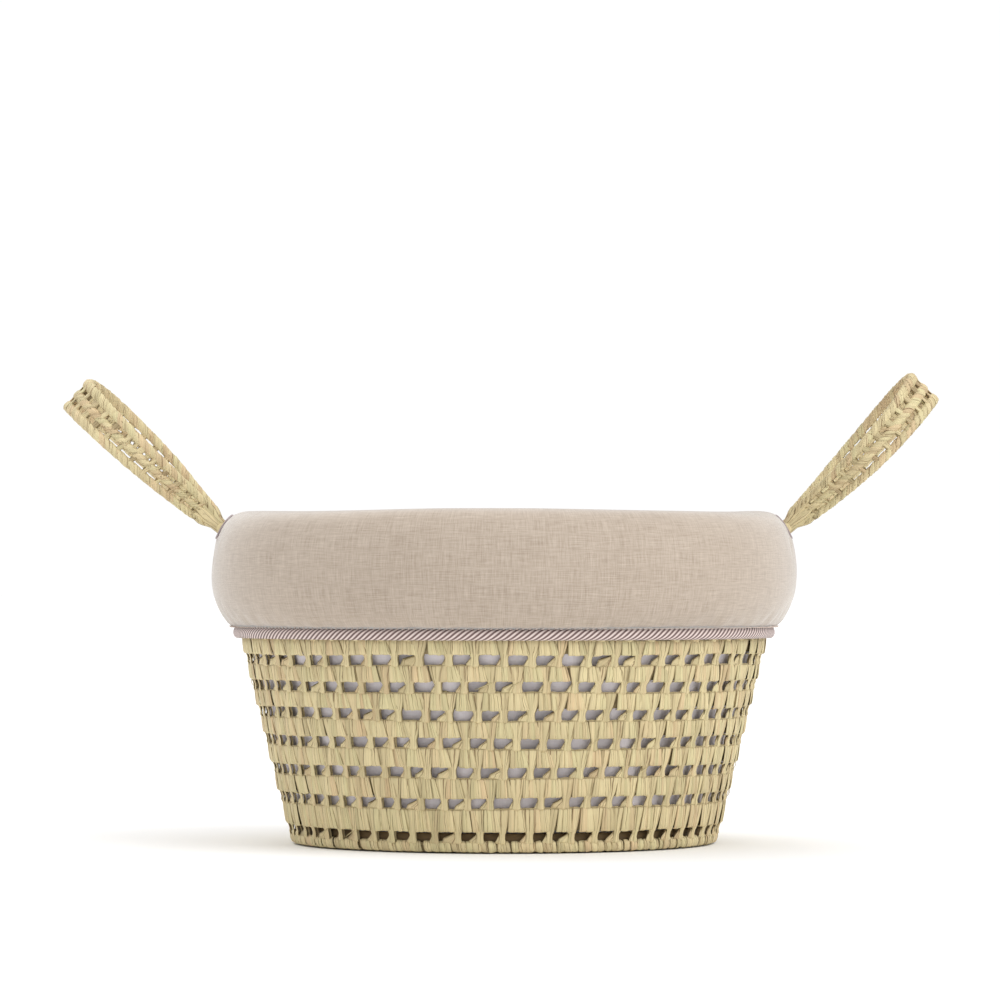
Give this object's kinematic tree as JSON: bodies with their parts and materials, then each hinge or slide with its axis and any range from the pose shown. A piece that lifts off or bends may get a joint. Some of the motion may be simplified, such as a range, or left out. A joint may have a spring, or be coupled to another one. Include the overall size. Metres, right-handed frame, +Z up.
{
  "type": "lined palm-leaf storage basket",
  "caption": "Round open storage basket plaited in palm leaf, with a padded cloth liner turned over the rim, striped piping and two swinging loop handles.",
  "frame": {"origin": "on the floor under the middle of the basket", "axes": "+Z up, +X towards the right-hand handle, +Y away from the front; the basket is round about Z"},
  "size_m": [0.5983, 0.4, 0.3209],
  "materials": {
    "palm_leaf": "matte",
    "palm_base": "matte",
    "palm_foot": "matte",
    "palm_links": "matte",
    "palm_lashing": "matte",
    "liner_cotton": "matte",
    "cover_linen": "matte",
    "wadding": "matte",
    "elastic": "matte",
    "piping_core": "matte",
    "piping_stripe": "matte",
    "slot_binding": "matte"
  },
  "bodies": {
    "basket": {"foot_coil": "palm_foot", "wall_band_1": "palm_leaf", "wall_band_2": "palm_leaf", "wall_band_3": "palm_leaf", "wall_band_4": "palm_leaf", "wall_band_5": "palm_leaf", "wall_band_6": "palm_leaf", "wall_band_7": "palm_leaf", "wall_band_8": "palm_leaf", "wall_band_9": "palm_leaf", "wall_band_10": "palm_leaf", "link_row_0": "palm_links", "link_row_1": "palm_links", "link_row_2": "palm_links", "link_row_3": "palm_links", "link_row_4": "palm_links", "link_row_5": "palm_links", "link_row_6": "palm_links", "link_row_7": "palm_links", "link_row_8": "palm_links", "link_row_9": "palm_links", "link_row_10": "palm_links", "rim_coil": "palm_leaf", "base_button": "palm_base", "base_ring_1": "palm_base", "base_ring_2": "palm_base", "base_ring_3": "palm_base", "base_ring_4": "palm_base", "base_ring_5": "palm_base", "liner_floor": "liner_cotton", "liner_wall": "liner_cotton", "cover_cloth": "cover_linen", "wadding": "wadding", "hem_elastic": "elastic", "piping_cord": "piping_core", "piping_strip": "piping_stripe", "left_slot_binding": "slot_binding", "right_slot_binding": "slot_binding", "left_handle_lashings": "palm_lashing", "right_handle_lashings": "palm_lashing"},
    "left_handle": {"left_handle_upper_coil": "palm_leaf", "left_handle_middle_coil": "palm_leaf", "left_handle_lower_coil": "palm_leaf", "left_handle_upper_links": "palm_links", "left_handle_lower_links": "palm_links", "left_handle_front_stem": "palm_leaf", "left_handle_back_stem": "palm_leaf"},
    "right_handle": {"right_handle_upper_coil": "palm_leaf", "right_handle_middle_coil": "palm_leaf", "right_handle_lower_coil": "palm_leaf", "right_handle_upper_links": "palm_links", "right_handle_lower_links": "palm_links", "right_handle_front_stem": "palm_leaf", "right_handle_back_stem": "palm_leaf"}
  },
  "joints": [
    {"name": "left_handle_swing", "type": "hinge", "parent": "basket", "child": "left_handle", "pos_m": [-0.19242, 0, 0.21473], "axis": [0, 1, 0], "range_deg": [-45, 47]},
    {"name": "right_handle_swing", "type": "hinge", "parent": "basket", "child": "right_handle", "pos_m": [0.19242, 0, 0.21473], "axis": [0, -1, 0], "range_deg": [-45, 44.5]}
  ]
}
